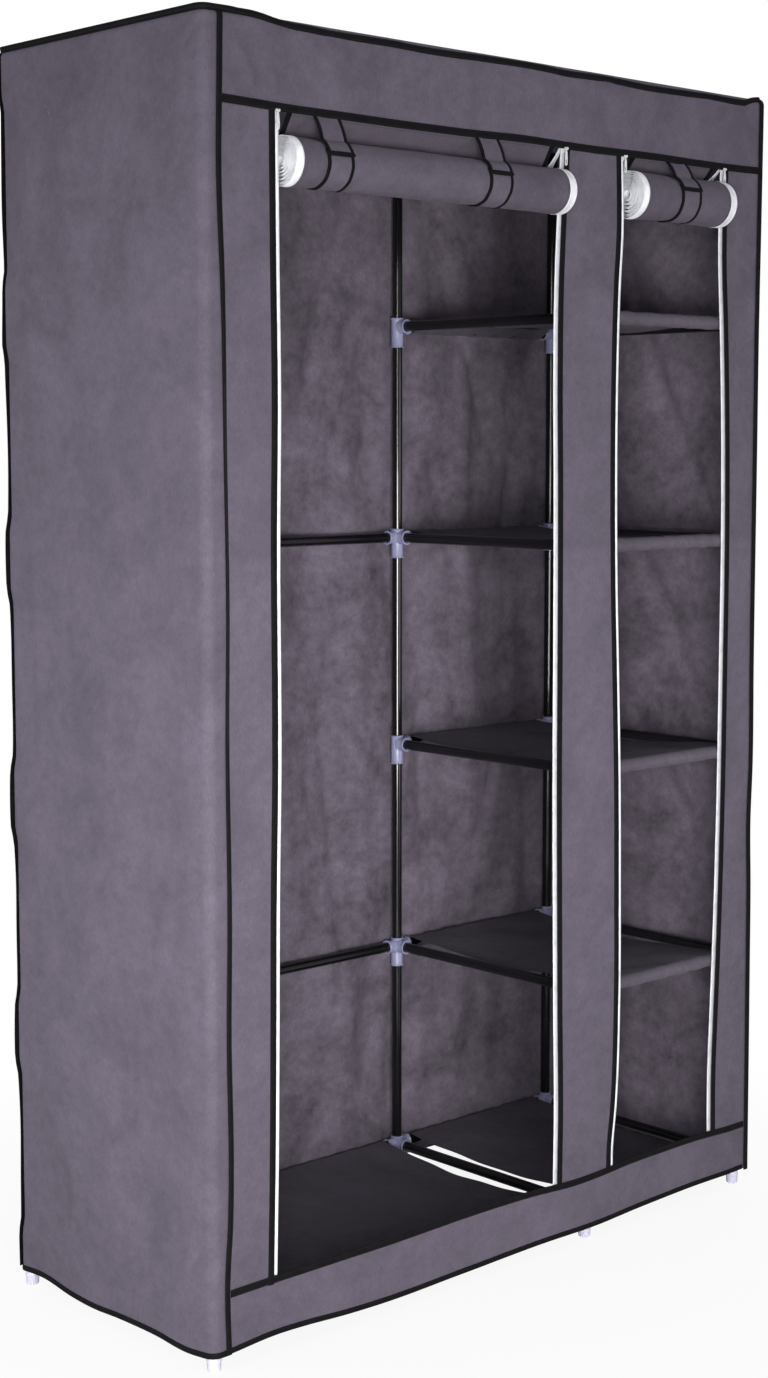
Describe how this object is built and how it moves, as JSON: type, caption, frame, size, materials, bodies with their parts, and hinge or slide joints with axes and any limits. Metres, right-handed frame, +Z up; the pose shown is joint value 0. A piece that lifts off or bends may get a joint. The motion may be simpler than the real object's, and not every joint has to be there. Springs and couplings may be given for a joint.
{
  "type": "portable fabric wardrobe",
  "caption": "Free-standing wardrobe: a plugged tube frame under a sewn non-woven cover, with a hanging bay, a shelf bay and two zip doors rolled up under the header.",
  "frame": {"origin": "on the floor, under the middle of the outline", "axes": "+Z up, front of the wardrobe towards -Y, +X to the right as seen from the front"},
  "size_m": [1.1314, 0.4892, 1.7516],
  "materials": {
    "frame_tube": "black gloss coating on thin steel tube",
    "cover_cloth": "grey non-woven polypropylene cloth with a pressed dot pattern, matt",
    "inner_cloth": "darker side of the same non-woven cloth, matt",
    "binding": "black woven binding tape, stitched, matt",
    "zip_tape": "white woven zip tape with a nylon coil",
    "zip_metal": "white lacquered zip slider and pull, satin"
  },
  "bodies": {
    "wardrobe": {"post_front_left": "frame_tube", "post_front_middle": "frame_tube", "post_front_right": "frame_tube", "post_back_left": "frame_tube", "post_back_middle": "frame_tube", "post_back_right": "frame_tube", "tier_frame_0": "frame_tube", "tier_frame_1": "frame_tube", "tier_frame_2": "frame_tube", "tier_frame_3": "frame_tube", "tier_frame_4": "frame_tube", "tier_frame_5": "frame_tube", "side_frame_1": "frame_tube", "side_frame_3": "frame_tube", "clothes_rail": "frame_tube", "shelf_1": "inner_cloth", "shelf_2": "inner_cloth", "shelf_3": "inner_cloth", "shelf_4": "inner_cloth", "floor_cloth_left": "inner_cloth", "floor_cloth_right": "inner_cloth", "cover_top": "cover_cloth", "cover_left_side": "cover_cloth", "cover_right_side": "cover_cloth", "cover_back": "cover_cloth", "cover_header": "cover_cloth", "cover_left_stile": "cover_cloth", "cover_centre_stile": "cover_cloth", "cover_right_stile": "cover_cloth", "cover_bottom_band": "cover_cloth", "front_bindings": "binding", "top_binding": "binding", "rear_left_binding": "binding", "rear_right_binding": "binding", "hem_binding": "binding", "left_door_left_cover_tape": "zip_tape", "left_door_right_cover_tape": "zip_tape", "right_door_left_cover_tape": "zip_tape", "right_door_right_cover_tape": "zip_tape"},
    "left_rolled_door": {"left_door": "inner_cloth", "left_door_left_tape": "zip_tape", "left_door_right_tape": "zip_tape", "left_strap_loop": "cover_cloth", "middle_strap_loop": "cover_cloth"},
    "right_rolled_door": {"right_door": "inner_cloth", "right_door_left_tape": "zip_tape", "right_door_right_tape": "zip_tape", "right_strap_loop": "cover_cloth"},
    "left_tab": {"left_strap_tab": "cover_cloth"},
    "middle_tab": {"middle_strap_tab": "cover_cloth"},
    "right_tab": {"right_strap_tab": "cover_cloth"},
    "left_door_left_slider": {"left_door_left_zip_slider": "zip_metal"},
    "left_door_right_slider": {"left_door_right_zip_slider": "zip_metal"},
    "right_door_left_slider": {"right_door_left_zip_slider": "zip_metal"},
    "right_door_right_slider": {"right_door_right_zip_slider": "zip_metal"},
    "left_door_left_pull": {"left_door_left_zip_pull": "zip_metal"},
    "left_door_right_pull": {"left_door_right_zip_pull": "zip_metal"},
    "right_door_left_pull": {"right_door_left_zip_pull": "zip_metal"},
    "right_door_right_pull": {"right_door_right_zip_pull": "zip_metal"}
  },
  "joints": [
    {"name": "left_door_swing", "type": "hinge", "parent": "wardrobe", "child": "left_rolled_door", "pos_m": [-0.1714, -0.20737, 1.6393], "axis": [-1, 0, 0], "range_deg": [-50, 55]},
    {"name": "right_door_swing", "type": "hinge", "parent": "wardrobe", "child": "right_rolled_door", "pos_m": [0.3446, -0.20737, 1.6393], "axis": [-1, 0, 0], "range_deg": [-50, 55]},
    {"name": "left_tab_lift", "type": "hinge", "parent": "left_rolled_door", "child": "left_tab", "pos_m": [-0.3581, -0.20511, 1.63131], "axis": [-1, 0, 0], "range_deg": [0, 80]},
    {"name": "middle_tab_lift", "type": "hinge", "parent": "left_rolled_door", "child": "middle_tab", "pos_m": [-0.0616, -0.20511, 1.63131], "axis": [-1, 0, 0], "range_deg": [0, 80]},
    {"name": "right_tab_lift", "type": "hinge", "parent": "right_rolled_door", "child": "right_tab", "pos_m": [0.347, -0.20416, 1.63165], "axis": [-1, 0, 0], "range_deg": [0, 80]},
    {"name": "left_door_left_zip_slide", "type": "slide", "parent": "wardrobe", "child": "left_door_left_slider", "axis": [0, 0, -1], "range_m": [0, 1.52]},
    {"name": "left_door_right_zip_slide", "type": "slide", "parent": "wardrobe", "child": "left_door_right_slider", "axis": [0, 0, -1], "range_m": [0, 1.52]},
    {"name": "right_door_left_zip_slide", "type": "slide", "parent": "wardrobe", "child": "right_door_left_slider", "axis": [0, 0, -1], "range_m": [0, 1.52]},
    {"name": "right_door_right_zip_slide", "type": "slide", "parent": "wardrobe", "child": "right_door_right_slider", "axis": [0, 0, -1], "range_m": [0, 1.52]},
    {"name": "left_door_left_pull_swing", "type": "hinge", "parent": "left_door_left_slider", "child": "left_door_left_pull", "pos_m": [-0.44174, -0.21147, 1.6332], "axis": [-1, 0, 0], "range_deg": [0, 150]},
    {"name": "left_door_right_pull_swing", "type": "hinge", "parent": "left_door_right_slider", "child": "left_door_right_pull", "pos_m": [0.09886, -0.21147, 1.6332], "axis": [-1, 0, 0], "range_deg": [0, 150]},
    {"name": "right_door_left_pull_swing", "type": "hinge", "parent": "right_door_left_slider", "child": "right_door_left_pull", "pos_m": [0.22826, -0.21147, 1.6332], "axis": [-1, 0, 0], "range_deg": [0, 150]},
    {"name": "right_door_right_pull_swing", "type": "hinge", "parent": "right_door_right_slider", "child": "right_door_right_pull", "pos_m": [0.46086, -0.21147, 1.6332], "axis": [-1, 0, 0], "range_deg": [0, 150]}
  ]
}
